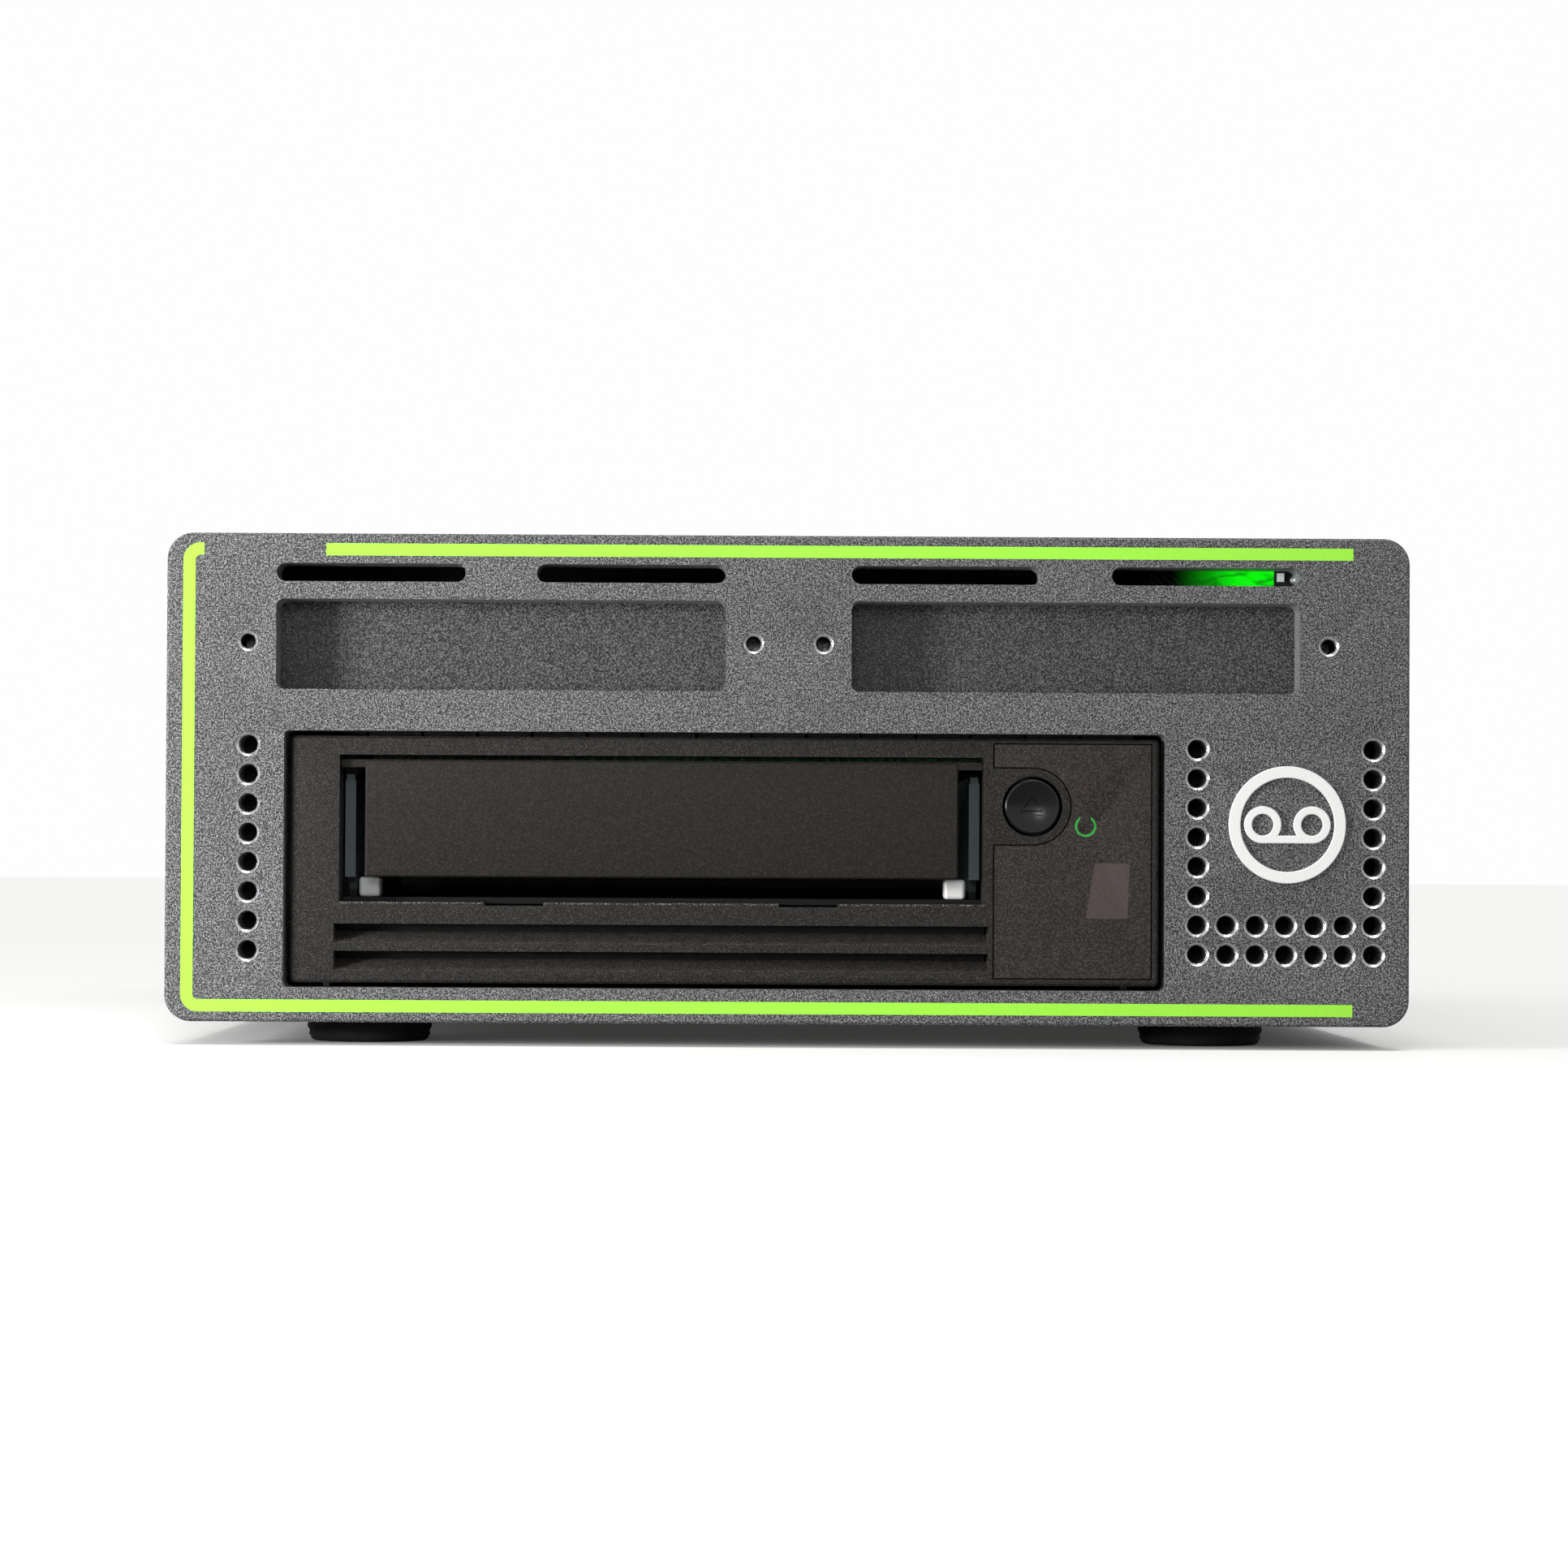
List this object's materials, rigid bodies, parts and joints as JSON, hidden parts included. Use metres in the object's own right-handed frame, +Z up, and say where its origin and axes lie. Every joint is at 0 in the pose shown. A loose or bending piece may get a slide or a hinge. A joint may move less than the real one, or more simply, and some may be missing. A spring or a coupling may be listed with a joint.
{
  "type": "data tape drive",
  "caption": "Desktop half-rack enclosure with a tape cartridge drive behind a flap door, two blanked module bays, front air vents and a mains inlet, switch and fan at the rear.",
  "frame": {"origin": "centre of the whole drive's footprint, on the surface under the feet", "axes": "+X along the front panel to the right seen from the front, +Y to the rear, +Z up"},
  "size_m": [0.212, 0.3122, 0.0873],
  "materials": {
    "face_paint": "fine textured grey paint",
    "blank_paint": "fine textured grey paint",
    "case_paint": "fine textured dark grey paint",
    "chassis_steel": "plated sheet steel",
    "foot_rubber": "matte",
    "screw_steel": "zinc plated",
    "light_green": "glowing light guide",
    "bezel_plastic": "fine moulded grain",
    "button_plastic": "polished",
    "door_plastic": "fine moulded grain",
    "window_plastic": "smoked, satin",
    "display_plastic": "satin",
    "drive_casting": "die cast",
    "board_green": "solder mask",
    "connector_black": "moulded",
    "tray_steel": "plated sheet steel",
    "nylon": "natural nylon",
    "sink_aluminium": "black anodised",
    "motor_steel": "plated",
    "hub_plastic": "moulded acetal",
    "reel_plastic": "moulded",
    "roller_steel": "ground",
    "pin_brass": "plated"
  },
  "bodies": {
    "case": {"front_panel": "face_paint", "base_tray": "chassis_steel", "top_cover": "case_paint", "feet": "foot_rubber", "bay_deck": "chassis_steel", "activity_light": "light_green", "drive_bezel": "bezel_plastic", "drive_base": "drive_casting", "drive_lid": "chassis_steel", "main_board": "board_green", "drive_rear_connector": "connector_black", "heat_sink": "sink_aluminium", "cover_screws": "screw_steel", "foot_screws": "screw_steel", "panel_screws": "screw_steel", "bay_blank_left": "blank_paint", "bay_blank_right": "blank_paint", "blank_screws": "screw_steel", "deck_screws": "screw_steel", "status_window": "window_plastic", "status_light_ring": "light_green", "drive_front_board": "board_green", "status_display": "display_plastic", "drive_bracket_left": "chassis_steel", "drive_bracket_right": "chassis_steel", "drive_screws": "screw_steel", "bracket_screws": "screw_steel", "lid_screws": "screw_steel", "reel_motor": "motor_steel", "takeup_motor": "motor_steel", "roller_posts": "screw_steel", "head_actuator": "drive_casting", "arm_post": "screw_steel", "inlet_socket": "connector_black", "inlet_pins": "pin_brass", "switch_housing": "connector_black", "fan_frame": "connector_black", "fan_screws": "screw_steel", "power_supply": "chassis_steel", "supply_screws": "screw_steel", "bridge_board": "board_green", "board_standoffs": "pin_brass", "data_ports": "tray_steel", "board_screws": "screw_steel"},
    "eject_button": {"eject_button": "button_plastic"},
    "cartridge_door": {"cartridge_door": "door_plastic"},
    "loader": {"loader_tray": "tray_steel", "tray_shoes": "nylon"},
    "drive_hub": {"drive_hub": "hub_plastic"},
    "takeup_reel": {"takeup_reel": "reel_plastic"},
    "roller_1": {"guide_roller_1": "roller_steel"},
    "roller_2": {"guide_roller_2": "roller_steel"},
    "roller_3": {"guide_roller_3": "roller_steel"},
    "roller_4": {"guide_roller_4": "roller_steel"},
    "head": {"head_block": "roller_steel"},
    "threader": {"threader_arm": "hub_plastic"},
    "rocker": {"rocker_switch": "connector_black"},
    "fan": {"fan_rotor": "connector_black"}
  },
  "joints": [
    {"name": "button_press", "type": "slide", "parent": "case", "child": "eject_button", "axis": [0, 1, 0], "range_m": [0, 0.0008], "stiffness_N_per_m": 300},
    {"name": "door_hinge", "type": "hinge", "parent": "case", "child": "cartridge_door", "pos_m": [-0.0215, -0.1522, 0.04815], "axis": [1, 0, 0], "range_deg": [0, 90]},
    {"name": "tray_slide", "type": "slide", "parent": "case", "child": "loader", "axis": [0, 1, 0], "range_m": [0, 0.012]},
    {"name": "hub_spin", "type": "hinge", "parent": "case", "child": "drive_hub", "pos_m": [-0.0215, -0.09, 0.0224], "axis": [0, 0, 1], "continuous": true},
    {"name": "takeup_spin", "type": "hinge", "parent": "case", "child": "takeup_reel", "pos_m": [-0.0118, 0.008, 0.031], "axis": [0, 0, 1], "continuous": true},
    {"name": "roller_1_spin", "type": "hinge", "parent": "case", "child": "roller_1", "pos_m": [0.0403, -0.038, 0.0309], "axis": [0, 0, 1], "continuous": true},
    {"name": "roller_2_spin", "type": "hinge", "parent": "case", "child": "roller_2", "pos_m": [0.0473, -0.028, 0.0309], "axis": [0, 0, 1], "continuous": true},
    {"name": "roller_3_spin", "type": "hinge", "parent": "case", "child": "roller_3", "pos_m": [0.0473, -0.004, 0.0309], "axis": [0, 0, 1], "continuous": true},
    {"name": "roller_4_spin", "type": "hinge", "parent": "case", "child": "roller_4", "pos_m": [0.0403, 0.006, 0.0309], "axis": [0, 0, 1], "continuous": true},
    {"name": "head_step", "type": "slide", "parent": "case", "child": "head", "axis": [0, 0, 1], "range_m": [-0.003, 0.003]},
    {"name": "threader_swing", "type": "hinge", "parent": "case", "child": "threader", "pos_m": [0.0543, 0.029, 0.048], "axis": [0, 0, -1], "range_deg": [0, 52]},
    {"name": "rocker_tip", "type": "hinge", "parent": "case", "child": "rocker", "pos_m": [0.07, 0.1525, 0.062], "axis": [1, 0, 0], "range_deg": [0, 16]},
    {"name": "fan_spin", "type": "hinge", "parent": "case", "child": "fan", "pos_m": [-0.062, 0.1455, 0.0455], "axis": [0, 1, 0], "continuous": true}
  ]
}
